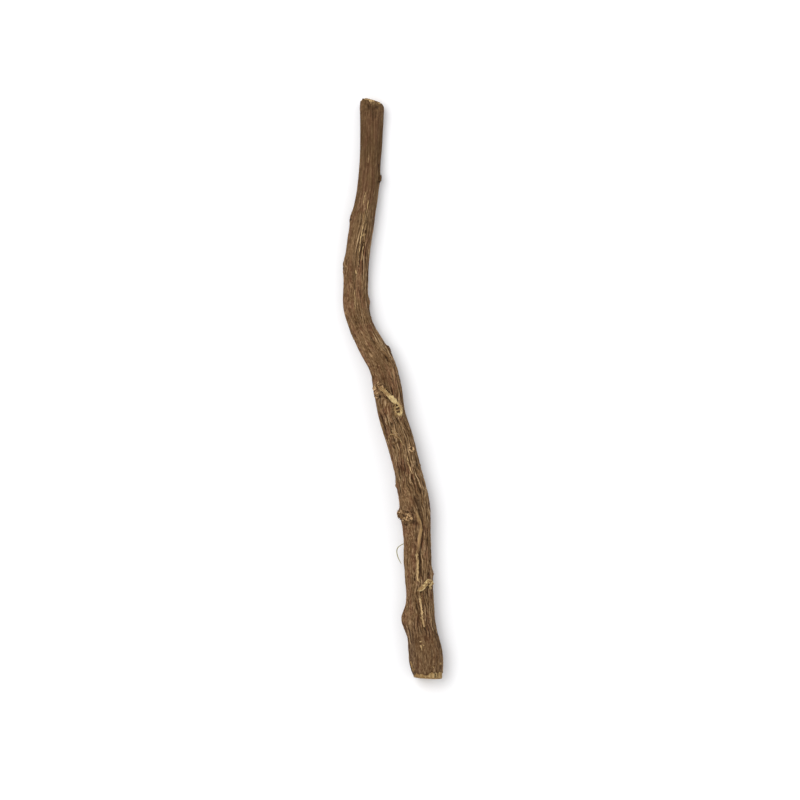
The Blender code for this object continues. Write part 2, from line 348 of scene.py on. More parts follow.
# Points of along and degrees, then the half width.
BARE_LINES = (
    (((142.0, 93), (144.0, 92), (146.2, 91), (148.4, 92), (150.2, 96), (152.6, 89)), 0.36),
    (((155.4, 91), (157.6, 90), (159.7, 90), (161.6, 86), (163.3, 88), (166.4, 80)), 0.29),
    (((27.8, 96), (30.6, 100), (33.4, 98)), 0.14),
    (((58.5, 96), (62.0, 93), (65.5, 99)), 0.13),
    (((33.5, 87), (38.0, 83), (44.0, 85), (51.0, 81)), 0.13),
    (((36.0, 68), (41.0, 64), (47.0, 68), (50.0, 66)), 0.12),
    (((29.5, 77), (34.0, 74), (38.0, 76)), 0.12),
    (((16.5, 97), (18.5, 99), (20.5, 97)), 0.11),
    (((112.0, 76), (115.0, 79), (118.6, 74)), 0.13),
    (((171.0, 104), (172.6, 101), (174.0, 102)), 0.15),
    (((LENGTH - 4.3, 64), (LENGTH - 3.4, 66), (LENGTH - 2.4, 65)), 0.18),
    (((66.0, 262), (70.0, 266), (74.0, 259)), 0.30),
    (((120.0, 248), (126.0, 254), (131.0, 250)), 0.34),
    (((84.0, 12), (90.0, 2), (95.0, 6)), 0.22),
    (((24.0, 196), (29.0, 203), (33.0, 199)), 0.22),
)
# Along, degrees, radius, and how bare it is.
BARE_SPOTS = (
    (41.0, 72, 0.48, 1.0),
    (52.7, 93, 0.50, 1.0),
    (110.8, 49, 0.40, 1.0),
    (0.5, 86, 0.90, 0.51),
    (1.9, 84, 0.90, 0.45),
    (3.6, 72, 0.80, 0.43),
    (117.4, 108, 0.30, 0.9),
    (143.0, 310, 0.80, 0.8),
    (50.0, 220, 0.60, 0.8),
    (LENGTH - 4.6, 160, 0.90, 0.8),
    (LENGTH - 2.4, 154, 0.90, 0.9),
    (LENGTH - 4.5, 36, 0.40, 1.0),
    (LENGTH - 10.2, 94, 0.35, 0.9),
    (LENGTH - 11.3, 103, 0.30, 0.9),
)
# Small holes and hollows, sunk in the bark and darkened with painted shade: in the rings, among the
# knot's lumps, round the peeled rootlet and its lace, and at the arched scar. Along, degrees,
# radius, depth.
PITS = (
    (1.75, 106, 0.62, 0.30),
    (1.5, 60, 0.65, 0.30),
    (110.8, 49, 0.50, 0.30),
    (107.0, 112, 0.70, 0.12),
    (132.8, 98, 0.80, 0.25),
    (131.4, 149, 0.45, 0.25),
    (130.9, 118, 0.40, 0.25),
    (132.2, 112, 0.45, 0.25),
    (133.3, 125, 0.60, 0.20),
    (152.9, 34, 0.40, 0.25),
    (153.7, 52, 0.50, 0.35),
    (155.0, 84, 0.50, 0.15),
    (93.3, 131, 0.70, 0.30),
    (91.9, 118, 0.50, 0.20),
    (91.0, 97, 0.40, 0.25),
    (94.0, 93, 0.45, 0.15),
    (96.7, 65, 0.45, 0.30),
    (97.8, 64, 0.45, 0.30),
    (99.0, 61, 0.45, 0.30),
    (LENGTH - 0.7, 50, 0.75, 0.50),
    (LENGTH - 3.8, 152, 0.45, 0.25),
)


# %% How bare or pitted a place is
def near_lines(lines, fade, angle, along, radius):
    """For each line beside a place: its strength there, how far off it is in half widths, and the
    rest of the line's row."""
    for line, half_width, *rest in lines:
        there = line_angle(line, along)
        if there is not None:
            strength = min(1.0, (along - line[0][0]) / fade, (line[-1][0] - along) / fade)
            yield strength, abs(angle_between(angle, there)) * radius / half_width, *rest


def off_spot(spot_along, degrees, angle, along, radius):
    """How far a place is from a spot on the bark, in millimetres."""
    return math.hypot(along - spot_along, angle_between(angle, math.radians(degrees)) * radius)


def bareness(angle, along, radius):
    """1 where the bark is gone, 0 where it is whole."""
    bare, level = 0.0, 1.0
    for strength, off in near_lines(BARE_LINES, BARE_FADE, angle, along, radius):
        bare = max(bare, 1.35 * strength - off)
    for spot_along, degrees, reach, spot_level in BARE_SPOTS:
        if abs(along - spot_along) < 2 * reach:
            spot = 1.6 - 1.3 * off_spot(spot_along, degrees, angle, along, radius) / reach
            if spot > bare:
                bare, level = spot, spot_level
    if bare <= 0:
        return 0.0
    ragged = noise.noise(around(angle, 11.0, along, 0.9, 2.2))
    ragged += 0.6 * noise.noise(around(angle, 20.0, along, 0.4, 8.2))
    return level * min(1.0, max(0.0, 1.8 * (bare + RAGGEDNESS * ragged)))


def pit_at(angle, along, radius):
    """The depth of the small pits in millimetres, and their share of painted shade, from 0 to 1."""
    depth = dark = 0.0
    for pit_along, degrees, reach, pit_depth in PITS:
        if abs(along - pit_along) < 2.5 * reach:
            off = off_spot(pit_along, degrees, angle, along, radius)
            share = math.exp(-((off / reach) ** 2))
            depth, dark = depth + pit_depth * share, max(dark, share)
    return depth, dark


print("lines, spots and pits:", len(BARE_LINES), len(BARE_SPOTS), len(PITS))

# %% [markdown]
# ## Fine lines
#
# Close up, the bark is drawn into thin raised lines that run along the root, swerve, meet and part,
# with furrows between them that are darkened with painted shade. A cosine round the root gives
# evenly spaced lines. Noise that shifts them by about one spacing makes them run together, and
# noise that fades them breaks them into streaks. Towards the thick end the bark is older, so the
# streaks get shorter and crinkle, and the young thin end stays smoother. The lines part round a
# knot. They give way to crumpled bark at gnarled places and to smooth bark on the calm stretches.
# A few cracks cross them, also darkened with painted shade.

# %% Where the bark is lined, gnarled, calm or cracked
LINES = 38  # round the root
LINE_DRIFT = 1.0  # how far they stray, in spacings
LINE_HEIGHT = 0.22
FINE_LINE_HEIGHT = 0.07
GRIT_HEIGHT = 0.02
PARTING = 0.38  # how far the lines bend round a knot, as a share of their distance from it
CRUMPLE_HEIGHT = 0.28
CRINKLE = 0.11  # radians
CRINKLE_RUN = 2.4
CRACK_FADE = 0.8  # millimetres over which a crack sets in
# Where the bark is gnarled instead of lined. Along, degrees, half length, half width.
GNARLS = (
    (131.0, 136, 3.3, 4.2),
    (91.5, 141, 2.6, 2.8),
    (23.3, 4, 1.5, 1.3),
    (36.5, 172, 1.6, 1.4),
    (51.4, 174, 1.8, 1.4),
    (80.3, 8, 1.6, 1.4),
    (121.0, 205, 2.2, 1.8),
    (150.0, 335, 2.4, 1.8),
    (106.0, 285, 2.0, 1.8),
    (165.5, 182, 2.0, 1.6),
)
# Where the bark is smooth and only finely grained. Along, degrees, half length, half width, how calm.
CALM_STRETCHES = (
    (14.0, 120, 17.0, 5.5, 0.7),
    (38.0, 150, 9.0, 2.6, 0.9),
    (57.0, 140, 13.0, 3.0, 0.9),
    (80.0, 115, 14.0, 4.4, 0.85),
    (126.5, 120, 4.5, 2.8, 0.9),
    (142.0, 134, 10.0, 3.2, 0.95),
    (160.0, 150, 6.0, 3.0, 0.6),
    (176.0, 88, 8.0, 6.0, 0.65),
    (62.0, 72, 9.0, 2.4, 0.60),
    (30.0, 245, 12.0, 4.0, 0.8),
    (75.0, 265, 12.0, 3.5, 0.8),
    (110.0, 235, 10.0, 3.5, 0.8),
    (150.0, 270, 13.0, 4.0, 0.8),
    (98.0, 340, 8.0, 3.0, 0.7),
)
# Cracks sunk in the bark, darkened with painted shade. Most run beside a raised or broken place,
# such as the peeled rootlet, the welt, the knot, the arched scar or the thick cut, and paint its
# shadow there. Points of along and degrees, half width, depth.
CRACKS = (
    (((90.4, 106), (91.6, 97), (93.0, 83), (94.2, 68), (95.6, 56)), 0.24, 0.22),
    (((92.6, 121), (93.8, 107), (95.0, 92), (96.1, 78)), 0.22, 0.18),
    (((126.0, 72), (130.0, 74), (134.0, 62), (138.0, 66), (142.0, 76), (147.0, 80)), 0.26, 0.22),
    (((128.4, 112), (129.2, 103), (130.6, 98), (132.4, 99)), 0.30, 0.20),
    (((110.9, 38), (111.9, 42), (112.2, 52), (111.8, 60)), 0.22, 0.20),
    (((143.0, 84), (146.0, 82), (150.0, 86), (152.6, 83)), 0.20, 0.18),
    (((150.6, 36), (151.4, 54), (152.4, 70)), 0.20, 0.15),
    (((154.4, 74), (155.2, 62), (156.2, 55)), 0.24, 0.20),
    (((18.5, 24), (21.5, 18), (25.5, 22)), 0.24, 0.20),
    (((35.0, 68), (39.5, 63), (44.0, 66)), 0.15, 0.12),
    (((39.0, 80), (45.0, 75), (52.0, 79)), 0.15, 0.12),
    (((LENGTH - 2.2, 118), (LENGTH - 1.7, 104), (LENGTH - 1.3, 93), (LENGTH - 1.5, 84)), 0.24, 0.15),
)

# %% Lines that swerve, meet and part
def step_up(low, high, value):
    """0 below low, 1 above high, and smooth between them."""
    t = min(1.0, max(0.0, (value - low) / (high - low)))
    return t * t * (3 - 2 * t)


def drawn_out(along):
    """Distance along the root for the lines, which break up more towards the thick end."""
    return along / 14.0 + 8.0 * (along / LENGTH) ** 4


def parted(angle, along, radius):
    """The angle at which the lines are read, so that they part round a knot and close after it."""
    for knot_along, degrees, half_length, half_width, height in KNOTS:
        off_along = (along - knot_along) / (1.6 * half_length)
        if height > 0 and abs(off_along) < 2.5:
            off_angle = angle_between(angle, math.radians(degrees))
            off_round = off_angle * radius / (1.6 * half_width)
            angle -= PARTING * off_angle * math.exp(-(off_along**2) - off_round**2)
    share = 0.2 + 0.8 * step_up(25.0, 100.0, along) - 0.4 * step_up(140.0, 168.0, along)
    return angle + CRINKLE * share * noise.noise(around(angle, 3.2, along, CRINKLE_RUN, 12.9))


def gnarled_at(angle, along, radius):
    """1 in the middle of a gnarled place, 0 away from it."""
    gnarled = 0.0
    for off_along, off_round in near_patches(GNARLS, 1.6, angle, along, radius):
        gnarled = max(gnarled, 1.25 * math.exp(-0.9 * (off_along**2 + off_round**2)) - 0.12)
    return min(1.0, gnarled)


def calm_at(angle, along, radius):
    """1 where the bark is smooth, 0 where it is drawn into lines."""
    calm = 0.0
    uneven = 0.45 * noise.noise(around(angle, 2.5, along, 2.5, 17.3))
    for off_along, off_round, level in near_patches(CALM_STRETCHES, 1.6, angle, along, radius):
        calm = max(calm, level * step_up(-1.25, -0.75, uneven - math.hypot(off_along, off_round)))
    return calm


def cracked_at(angle, along, radius):
    """The depth of the cracks in millimetres, and their share of painted shade, from 0 to 1."""
    depth = dark = 0.0
    for strength, off, full_depth in near_lines(CRACKS, CRACK_FADE, angle, along, radius):
        share = strength * math.exp(-(off**2))
        depth, dark = max(depth, full_depth * share), max(dark, share)
    return depth, dark


# %% The relief of the lines
def line_crest(angle, count, run, seed):
    """1 on a line, 0 in the middle between two."""
    drift = noise.noise(around(angle, count / 12, run, 1.3, seed))
    drift += 0.35 * noise.noise(around(angle, count / 6, run, 0.6, seed + 9))
    return 0.5 + 0.5 * math.cos(count * angle + 2 * math.pi * LINE_DRIFT * drift)


def line_relief(angle, along):
    """The lines' height in millimetres, how much of a pale crest it is, and its painted shade between lines.
    """
    run = drawn_out(along)
    line = line_crest(angle, LINES, run, 7.7)
    fine_line = line_crest(angle, 2 * LINES + 5, 1.8 * run, 31.4)
    grown = 0.12 + 0.28 * step_up(2.0, 12.0, along) + 0.60 * step_up(10.0, 55.0, along)
    shown = 0.45 + 1.5 * noise.noise(around(angle, 5.5, run, 0.65, 6.1))
    shown = min(1.0, max(0.0, shown))
    height = LINE_HEIGHT * (0.4 + 0.6 * shown) * (line - 0.75) + FINE_LINE_HEIGHT * (fine_line - 0.5)
    crest = grown * shown * line**4.0 * (0.6 + 0.4 * fine_line)
    furrow_shade = grown * (1 - line) ** 2.6 * (0.65 + 0.35 * (1 - fine_line))
    return grown * height, crest, furrow_shade


print("a line every", round(math.pi * station_at(LENGTH / 2)[3] / LINES, 2), "mm round the middle")

# %% [markdown]
# ## The bark as one fine mesh
#
# The mesh starts as a plain cylinder. In edit mode its long edges are subdivided twice, which gives
# the rings, and the two end faces are inset again and again, which gives the rings of the cuts.
# Then every point is moved to its place on the root. A formula does this, because no tool bends a
# cylinder along a measured line and wrinkles it at the same time.

# %% Helpers for working with one object at a time
def only(piece):
    """Makes this the one selected and active object."""
    bpy.ops.object.select_all(action="DESELECT")
    piece.select_set(True)
    bpy.context.view_layer.objects.active = piece


def select_in_edit(piece, edges=None, faces=None):
    """In edit mode, selects the edges or the faces that pass a test, and nothing else."""
    mesh = bmesh.from_edit_mesh(piece.data)
    bpy.ops.mesh.select_all(action="DESELECT")
    for edge in mesh.edges:
        if edges and edges(edge):
            edge.select_set(True)
    for face in mesh.faces:
        if faces and faces(face):
            face.select_set(True)
    bmesh.update_edit_mesh(piece.data)


def runs_lengthwise(edge):
    """True for an edge that runs along a cylinder."""
    return abs(edge.verts[0].co.z - edge.verts[1].co.z) > 1e-5


# %% A cylinder with rings along it and in its ends
FINE_COLUMNS = 8 * WRINKLES
RING_CUTS = (14, 28)  # 15 lengths, each cut into 29
CUT_SHARES = (0.985, 0.965, 0.94, 0.90, 0.84, 0.76, 0.66, 0.54, 0.40, 0.26, 0.12)

bpy.ops.object.select_all(action="DESELECT")
bpy.ops.mesh.primitive_cylinder_add(vertices=FINE_COLUMNS, radius=1.0, depth=1.0, end_fill_type="NGON")
bark = bpy.context.active_object
bark.name = bark.data.name = "root_bark"
bpy.ops.object.mode_set(mode="EDIT")
bpy.ops.mesh.select_mode(type="EDGE")
for cuts in RING_CUTS:
    select_in_edit(bark, edges=runs_lengthwise)
    bpy.ops.mesh.subdivide(number_cuts=cuts)
bpy.ops.mesh.select_mode(type="FACE")
outer = 1.0
for share in CUT_SHARES:
    select_in_edit(bark, faces=lambda face: len(face.verts) == FINE_COLUMNS)
    bpy.ops.mesh.inset(thickness=outer - share, use_individual=True, use_even_offset=True)
    outer = share
select_in_edit(bark, faces=lambda face: len(face.verts) == FINE_COLUMNS)
bpy.ops.mesh.poke()
bpy.ops.object.mode_set(mode="OBJECT")
print("straight bark:", len(bark.data.vertices), "points")

# %% [markdown]
# ## The broken edge of the bark at the cuts
#
# Thin bark chips away where a root is cut, so a rim of pale wood shows at both ends, and the wood
# stands a little proud of the bark. At the thick end the rim has a shape that can be seen, which a
# short table of angles and depths gives. Noise breaks its edge up.

# %% Chips and proud wood
BARK_DEPTH = 0.30  # how deep the wood lies under the bark
# How far the bark is gone at the thick cut: degrees, millimetres.
THICK_CHIPS = (
    (0, 1.6),
    (27, 1.9),
    (54, 1.8),
    (76, 1.6),
    (86, 0.8),
    (96, 0.5),
    (104, 1.0),
    (118, 1.2),
    (140, 1.1),
    (152, 0.5),
    (180, 0.9),
    (230, 0.4),
    (290, 1.1),
    (360, 1.6),
)
CHIP_VARIETY = 0.55
WOOD_PROUD = ((1.0, 0.0), (0.88, 0.10), (0.45, 0.25), (0.0, 0.26))  # share of the radius, height


def wood_proud(share):
    """How far the cut wood stands out past the bark's edge."""
    for (outer_share, outer_rise), (inner_share, inner_rise) in zip(WOOD_PROUD, WOOD_PROUD[1:]):
        if share >= inner_share:
            t = (outer_share - share) / (outer_share - inner_share)
            return outer_rise + t * (inner_rise - outer_rise)
    return WOOD_PROUD[-1][1]


def chipped_back(angle, at_thin_end):
    """How far the bark is broken away from a cut, in millimetres."""
    fine = noise.noise(around(angle, 13.0, 0.0, 1.0, 8.5))
    if at_thin_end:
        coarse = noise.noise(around(angle, 4.0, 0.0, 1.0, 5.5))
        return max(0.0, 0.15 + 0.5 * coarse + 0.35 * fine)
    degrees = math.degrees(angle) % 360
    for (start, start_gone), (end, end_gone) in zip(THICK_CHIPS, THICK_CHIPS[1:]):
        if degrees <= end:
            break
    usual = start_gone + (degrees - start) / (end - start) * (end_gone - start_gone)
    return max(0.0, usual + CHIP_VARIETY * fine)


def cut_lean(angle, at_thin_end):
    """How far a cut face falls back at the bark, in millimetres."""
    lean_top, lean_right = THIN_CUT if at_thin_end else THICK_CUT
    return (lean_top * math.sin(angle) + lean_right * math.cos(angle)) / 2


# %% [markdown]
# ## Every point to its place
#
# For each point of the straight cylinder, one function says how far out it lies and how far it
# falls back at a cut. It also gives eight masks from 0 to 1, such as how much painted shade the
# place gets in the furrows between the lines. They are stored with the mesh, and so is the
# straight place of each point, so that the finish can follow the relief and bend with the root.

# %% Points of the bark and points of the cuts
MASKS = ("crest", "furrow_shade", "bare", "cut", "pit_shade", "welt", "gnarl", "calm")


def bark_there(blank_angle, angle, read_angle, along, straight):
    """How far out the bark is, how far its edge is chipped back, and the masks."""
    at_thin_end = along < LENGTH / 2
    plain = station_at(along)[3] / 2
    wrinkle = 2 * abs(math.cos(WRINKLES / 2 * blank_angle)) - 1
    height, crest, furrow_shade = line_relief(read_angle, along)
    gnarl, calm = gnarled_at(angle, along, plain), calm_at(angle, along, plain)
    lined = (1 - 0.85 * gnarl) * (1 - 0.8 * calm)
    crumple = noise.noise(1.1 * straight) + 0.7 * noise.noise(2.3 * straight)
    height = height * lined + CRUMPLE_HEIGHT * gnarl * crumple
    # The crumpled hollows of gnarled bark are painted darker, as shade, like the furrows.
    furrow_shade = furrow_shade * lined + gnarl * min(0.9, max(0.0, -1.9 * crumple))
    crest = crest * lined + gnarl * min(0.5, max(0.0, 1.4 * crumple - 0.25))
    bare = bareness(angle, along, plain)
    welt = welt_at(angle, along, plain) / WELT_HEIGHT
    # Pits are sunk, and their dark is painted shade.
    pit_depth, pit_shade = pit_at(angle, along, plain)
    # Cracks are sunk, and their dark is painted shade; it joins the furrows' shade.
    crack_depth, crack_shade = cracked_at(angle, along, plain)
    from_cut = min(along, LENGTH - along)
    gone = step_up(-0.10, 0.20, chipped_back(angle, at_thin_end) - from_cut)
    grit = GRIT_HEIGHT * noise.noise(5.0 * straight)
    reach = bark_radius(angle, along, wrinkle) + height * (1 - gone) + grit
    reach -= BARK_DEPTH * gone + 0.10 * bare + pit_depth + crack_depth
    chip = BARK_CHIP * (0.5 + noise.noise(around(blank_angle, 4.0, 0.0, 1.0, 5.5 if at_thin_end else 8.5)))
    bare = max(gone, bare) * (1 - pit_shade)
    return reach, chip, (crest, max(furrow_shade, crack_shade), bare, 0.0, pit_shade, welt, gnarl, calm)


def cut_there(blank_angle, angle, share, along, straight):
    """The same for a point of a cut, at a share of the way from its middle to the bark."""
    reach = (bark_radius(angle, along, 0.0) - BARK_DEPTH) * share
    ray = noise.noise(around(blank_angle, 9.0, 4 * share, 1.0, 2.5))
    proud = wood_proud(share) + (0.16 * ray + 0.08 * noise.noise(3.0 * straight)) * share
    return reach, -proud, (0.0, 0.0, 0.0, 1.0, 0.0, 0.0, 0.0, 0.0)


# %% One point of the straight cylinder
def place_on_root(blank):
    """Where a point of the straight cylinder goes, its straight place, and its masks."""
    share = math.hypot(blank.x, blank.y)
    along = (0.5 + blank.z) * LENGTH
    blank_angle = math.atan2(blank.y, blank.x)
    angle = blank_angle + WANDER_ANGLE * noise.noise(around(blank_angle, 1.0, along, WANDER_RUN, 0.4))
    plain = station_at(along)[3] / 2
    read_angle = parted(blank_angle, along, plain)
    straight = Vector((share * plain * math.cos(read_angle), share * plain * math.sin(read_angle), along))
    if share > 0.999:
        reach, back, masks = bark_there(blank_angle, angle, read_angle, along, straight)
    else:
        reach, back, masks = cut_there(blank_angle, angle, share, along, straight)
    at_thin_end = along < LENGTH / 2
    back += cut_lean(angle, at_thin_end) * share
    felt = max(0.0, 1 - min(along, LENGTH - along) / CUT_REACH)
    middle, right, top, onward = frame_at(along)
    point = middle + right * (reach * math.cos(angle)) + top * (reach * math.sin(angle))
    point += onward * (back * felt * (1 if at_thin_end else -1))
    return on_table(point), straight, masks


def store(mesh, name, values):
    """Keeps one number, or one vector, for each point of a mesh, for its finish to read."""
    kind, key = ("FLOAT_VECTOR", "vector") if len(values) == 3 * len(mesh.vertices) else ("FLOAT", "value")
    mesh.attributes.new(name, kind, "POINT").data.foreach_set(key, values)


# %% The whole bark
straight_places, all_masks = [], []
for vertex in bark.data.vertices:
    point, straight, masks = place_on_root(vertex.co)
    vertex.co = point * MM
    straight_places.extend(straight)
    all_masks.append(masks)
store(bark.data, "straight", straight_places)
for name, values in zip(MASKS, zip(*all_masks)):
    store(bark.data, name, values)


def outward(piece):
    """Turns all faces of a piece outward."""
    only(piece)
    bpy.ops.object.mode_set(mode="EDIT")
    bpy.ops.mesh.select_all(action="SELECT")
    bpy.ops.mesh.normals_make_consistent(inside=False)
    bpy.ops.object.mode_set(mode="OBJECT")
    bpy.ops.object.shade_smooth()


def grown_on_root(piece, name):
    """Names a finished piece and says that it moves with the root."""
    outward(piece)
    piece.name = piece.data.name = name
    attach(piece, "root")
    print(name, len(piece.data.polygons), "faces")


grown_on_root(bark, "root_bark")
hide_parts("licorice_root")
print("bark box:", [round(side / MM, 1) for side in bark.dimensions], "mm")

# %% [markdown]
# ## Rootlets and scars that lie on the bark
#
# A root grows side rootlets. Here one was peeled and lies across the bark, and one left an arched
# scar with a hook. Each starts as a cylinder whose long edges are subdivided in edit mode, and is
# then laid along a line on the bark, half sunk in it. Ridges along it and noise make it fibrous.

# %% Lines of the rootlet and the scar
# Each row: along, degrees, width, thickness.
PEELED_ROOTLET = (
    (90.0, 125, 1.7, 1.2),
    (90.6, 118, 1.35, 1.2),
    (91.4, 110, 1.05, 1.1),
    (92.4, 100, 0.95, 1.0),
    (93.4, 89, 1.15, 1.1),
    (94.4, 78, 1.60, 1.1),
    (95.2, 69, 1.45, 0.9),
    (95.8, 62, 1.0, 0.7),
    (96.4, 55, 0.7, 0.5),
)
ARCHED_SCAR = (
    (154.5, 100, 0.9, 0.6),
    (154.1, 88, 1.1, 0.7),
    (153.5, 75, 1.1, 0.8),
    (152.9, 64, 1.1, 0.8),
    (152.2, 54, 1.0, 0.8),
    (151.8, 43, 1.0, 0.8),
    (152.1, 30, 1.0, 0.8),
    (152.8, 17, 0.8, 0.7),
    (153.3, 10, 0.4, 0.5),
)
SCAR_HOOK = (
    (152.6, 27, 0.7, 0.6),
    (153.1, 38, 0.8, 0.6),
    (153.6, 44, 0.7, 0.6),
    (154.1, 39, 0.7, 0.6),
    (154.3, 29, 0.5, 0.4),
)

# %% A rod laid along a line on the bark
ROOTLET_PROUD = 0.20  # how far a rod's middle line stands off the bark
END_SUNK = 0.45  # how far its ends dip into the bark, in thicknesses
RIDGES = 5
RIDGE_HEIGHT = 0.13
ROD_NUDGE = 0.02  # a small step along a rod, to find its direction


def row_at(rows, t):
    """The values at a share t of the way through some rows, on a smooth curve."""
    reach = min(max(t, 0.0), 1.0) * (len(rows) - 1)
    row = min(int(reach), len(rows) - 2)
    u = reach - row
    near = [rows[min(max(row + step, 0), len(rows) - 1)] for step in (-1, 0, 1, 2)]
    return [
        b + (c - a) * u / 2 + (2 * a - 5 * b + 4 * c - d) * u**2 / 2 + (3 * b - a - 3 * c + d) * u**3 / 2
        for a, b, c, d in zip(*near)
    ]


def on_bark(along, degrees, proud=0.0):
    """Stands a shape on the bark: its x along the root, its y round the root, its z outward."""
    middle, _, _, onward = frame_at(along)
    foot = surface_point(math.radians(degrees), along, proud)
    out = (foot - middle).normalized()
    axes = Matrix((onward, out.cross(onward), out)).transposed()
    return Matrix.Translation(foot) @ axes.to_4x4()


def lay_rod(rows, sides, rings, knobs, seed, pales):
    """A rod along a line on the bark, with ridges along it and knobs on it, paler from end to end, and
    painted darker, as shade, between its ridges and knobs.
    """
    bpy.ops.object.select_all(action="DESELECT")
    bpy.ops.mesh.primitive_cylinder_add(vertices=sides, radius=1.0, depth=1.0, end_fill_type="TRIFAN")
    rod = bpy.context.active_object
    bpy.ops.object.mode_set(mode="EDIT")
    bpy.ops.mesh.select_mode(type="EDGE")
    select_in_edit(rod, edges=runs_lengthwise)
    bpy.ops.mesh.subdivide(number_cuts=rings - 1)
    bpy.ops.object.mode_set(mode="OBJECT")
    paleness = []
    for vertex in rod.data.vertices:
        t, theta = vertex.co.z + 0.5, math.atan2(vertex.co.y, vertex.co.x)
        along, degrees, width, thickness = row_at(rows, t)
        at_end = 1 - step_up(0.0, 0.18, min(t, 1 - t))
        stand = on_bark(along, degrees, ROOTLET_PROUD - END_SUNK * at_end * thickness)
        after, before = row_at(rows, t + ROD_NUDGE), row_at(rows, t - ROD_NUDGE)
        onward = (on_bark(*after[:2]).translation - on_bark(*before[:2]).translation).normalized()
        out = stand.col[2].xyz
        sideways = out.cross(onward).normalized()
        rounded = 0.30 + 0.70 * step_up(0.0, 0.12, min(t, 1 - t))
        ridge = RIDGE_HEIGHT * math.cos(RIDGES * theta + 3 * noise.noise(Vector((4 * t, seed, 0))))
        knob = noise.noise(Vector((1.8 * len(rows) * t + seed, 1.7 * math.cos(theta), 1.7 * math.sin(theta))))
        fine = noise.noise(Vector((7 * len(rows) * t, 3 * math.cos(theta), 3 * math.sin(theta) + seed)))
        swell = rounded * (1 + ridge + knobs * knob + 0.3 * fine) * math.hypot(vertex.co.x, vertex.co.y)
        # Paleness runs from end to end and rises with the ridges and knobs, so the grooves between them are
        # painted darker, as shade.
        paleness.append(pales[0] + t * (pales[1] - pales[0]) + 2 * ridge + 1.3 * knobs * knob + 0.5 * fine)
        reach = width / 2 * math.cos(theta) * sideways + thickness / 2 * math.sin(theta) * out
        vertex.co = on_table(stand.translation + swell * reach) * MM
    store(rod.data, "pale", paleness)
    return rod


def joined(pieces):
    """Joins several objects into one."""
    bpy.ops.object.select_all(action="DESELECT")
    for piece in pieces:
        piece.select_set(True)
    bpy.context.view_layer.objects.active = pieces[0]
    bpy.ops.object.join()
    return pieces[0]


# %% The peeled rootlet and the arched scar
peeled_rootlet = lay_rod(PEELED_ROOTLET, sides=28, rings=80, knobs=0.42, seed=3.0, pales=(-0.30, 1.35))
grown_on_root(peeled_rootlet, "peeled_rootlet")
arch = lay_rod(ARCHED_SCAR, sides=28, rings=90, knobs=0.9, seed=8.0, pales=(0.25, 0.40))
hook = lay_rod(SCAR_HOOK, sides=20, rings=40, knobs=0.8, seed=11.0, pales=(0.7, 0.4))
arched_scar = joined([arch, hook])
grown_on_root(arched_scar, "arched_scar")

# %% [markdown]
# ## Lumps and rings
#
# Where rootlets died back, the bark closed over them in crusty lumps, and a clean break left a low
# ring. The lumps are icospheres, flattened, half sunk, dented at the top and roughened. The rings
# are tori, tilted and roughened too, that stand on the bark.

# %% Where the lumps and rings are
# Each row: along, degrees, radius, height, and how pale its crust is.
LUMPS = (
    (90.3, 124, 1.15, 0.55, 0.40),
    (92.6, 144, 0.90, 0.40, 0.50),
    (90.2, 147, 0.80, 0.20, 0.45),
    (130.4, 167, 1.05, 0.75, 0.35),
    (129.9, 158, 0.34, 0.55, 1.00),
    (131.2, 161, 0.30, 0.50, 0.80),
    (131.0, 149, 1.10, 0.50, 0.15),
    (131.5, 128, 0.90, 0.35, -0.10),
    (131.9, 136, 0.38, 0.40, 0.90),
    (131.5, 129, 0.34, 0.40, 0.70),
    (131.8, 122, 0.36, 0.55, 1.30),
    (131.2, 119, 0.30, 0.50, 1.10),
    (132.1, 116, 0.28, 0.35, 0.60),
    (130.4, 115, 0.32, 0.45, 1.15),
    (130.2, 121, 0.26, 0.40, 0.60),
    (130.8, 109, 0.28, 0.40, 1.00),
    (131.6, 104, 0.34, 0.40, 1.05),
    (131.3, 108, 0.24, 0.35, 0.50),
    (80.3, 12, 0.95, 0.40, 0.10),
    (23.3, 6, 0.95, 0.35, 0.10),
    (60.5, 212, 1.10, 0.50, 0.30),
    (117.0, 322, 1.20, 0.50, 0.30),
    (146.5, 212, 1.10, 0.50, 0.35),
    (171.0, 322, 1.35, 0.50, 0.30),
)
# Along, degrees, radius of the ring, thickness of its rim, and how pale it is.
RING_SCARS = (
    (110.8, 49, 0.75, 0.50, 0.75),
    (107.0, 112, 1.20, 0.40, 0.25),
    (37.0, 292, 0.85, 0.50, 0.30),
    (90.1, 149, 0.72, 0.42, 0.90),
)

# %% Crusty lumps and ring scars
LUMP_ROUGHNESS = 0.55
LUMP_HOLLOW = 0.60
RING_TILT = 0.25


def make_lump(along, degrees, radius, height, pale):
    """A rough flattened ball, half sunk in the bark, with its top dented."""
    bpy.ops.object.select_all(action="DESELECT")
    bpy.ops.mesh.primitive_ico_sphere_add(subdivisions=5, radius=1.0)
    lump = bpy.context.active_object
    stand = on_bark(along, degrees)
    paleness = []
    for vertex in lump.data.vertices:
        round_place = vertex.co.copy()
        uneven = LUMP_ROUGHNESS * noise.noise(2.3 * round_place + stand.translation)
        crust = 0.18 * noise.noise(4.0 * round_place + stand.translation)
        crust += 0.10 * noise.noise(11.0 * round_place - stand.translation)
        # The crust is paler where it bulges, so the hollows between its bits are painted darker, as shade.
        paleness.append(pale + 2.4 * crust + 0.6 * uneven)
        x, y, z = round_place * (1 + uneven + crust)
        z *= 1 - LUMP_HOLLOW * max(0.0, z) ** 5
        vertex.co = on_table(stand @ Vector((radius * x, radius * y, height * z))) * MM
    store(lump.data, "pale", paleness)
    return lump


